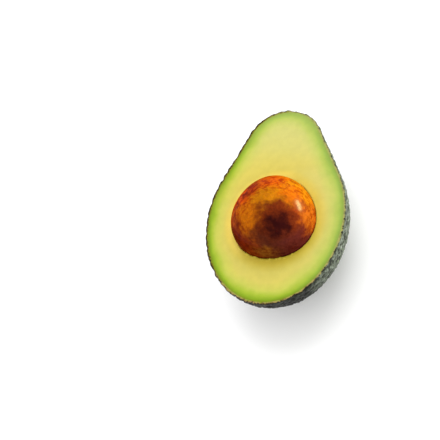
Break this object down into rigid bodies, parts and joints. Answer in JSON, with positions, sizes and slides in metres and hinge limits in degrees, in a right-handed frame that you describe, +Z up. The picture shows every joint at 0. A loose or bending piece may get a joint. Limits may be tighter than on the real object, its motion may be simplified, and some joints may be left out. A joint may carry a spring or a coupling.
{
  "type": "halved avocado with seed",
  "caption": "Pear-shaped avocado half lying on its round back, cut face up, with pebbled dark skin, pale green-edged flesh and a round brown seed.",
  "frame": {"origin": "middle of the small flat spot on the round back that the half rests on, under the widest place of the fruit", "axes": "+Z up out of the cut face, +Y along the long axis towards the stem end, +X to the right of it"},
  "size_m": [0.0706, 0.1006, 0.0549],
  "materials": {
    "skin": "pebbled grey-green fruit skin with a dull sheen",
    "flesh": "smooth moist cut flesh, pale yellow with a green edge",
    "seed": "smooth seed coat, mottled orange to dark brown, satin"
  },
  "bodies": {
    "root": {"skin": "skin", "flesh": "flesh", "seed": "seed"}
  },
  "joints": []
}
